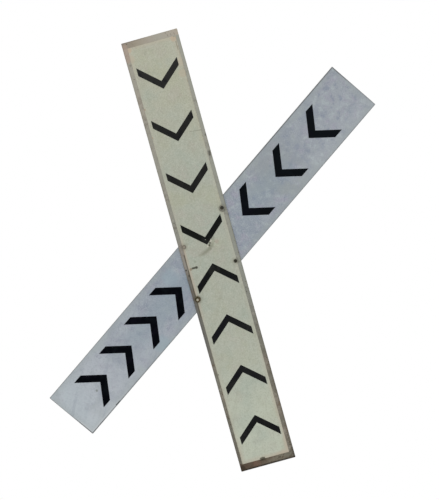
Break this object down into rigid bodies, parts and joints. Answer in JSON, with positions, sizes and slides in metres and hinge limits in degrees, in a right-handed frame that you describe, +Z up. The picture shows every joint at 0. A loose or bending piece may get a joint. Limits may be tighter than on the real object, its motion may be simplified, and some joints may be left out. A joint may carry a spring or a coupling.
{
  "type": "railroad crossing sign",
  "caption": "Flat crossbuck sign: long pale blades with black arrow bars, crossed in an X and bolted together, with two threaded tails behind for a post.",
  "frame": {"origin": "middle of the crossing, halfway between the two post fasteners, on the plane of the large back nuts' outer faces, where a post or board seats", "axes": "+X to the right and +Z up as seen by the traffic, the sign's face looks along -Y, and the threaded tails point along +Y"},
  "size_m": [0.7002, 0.0536, 1.1348],
  "materials": {
    "front_steel": "weathered primer with rust, matt",
    "cream_sheeting": "aged reflective sheeting, satin",
    "white_sheeting": "aged reflective sheeting, satin",
    "black_film": "aged film, satin",
    "rear_aluminium": "dull mill finish",
    "rusty_steel": "rusted steel, matt",
    "zinc_steel": "dull zinc plating with rust"
  },
  "bodies": {
    "root": {"front_blade": "front_steel", "front_sheeting": "cream_sheeting", "front_marks": "black_film", "rear_blade": "rear_aluminium", "rear_sheeting": "white_sheeting", "rear_marks": "black_film", "top_bolt": "rusty_steel", "bottom_stud": "zinc_steel", "front_nut": "rusty_steel", "right_bolt": "rusty_steel", "left_bolt": "rusty_steel", "front_washer_top": "rusty_steel", "front_washer_bottom": "rusty_steel", "back_washer_top": "zinc_steel", "back_washer_right": "zinc_steel", "back_washer_bottom": "zinc_steel", "back_washer_left": "zinc_steel", "lock_washer_top": "zinc_steel", "lock_washer_right": "zinc_steel", "lock_washer_bottom": "zinc_steel", "lock_washer_left": "zinc_steel", "back_nut_top": "zinc_steel", "back_nut_right": "zinc_steel", "back_nut_bottom": "zinc_steel", "back_nut_left": "zinc_steel"}
  },
  "joints": []
}
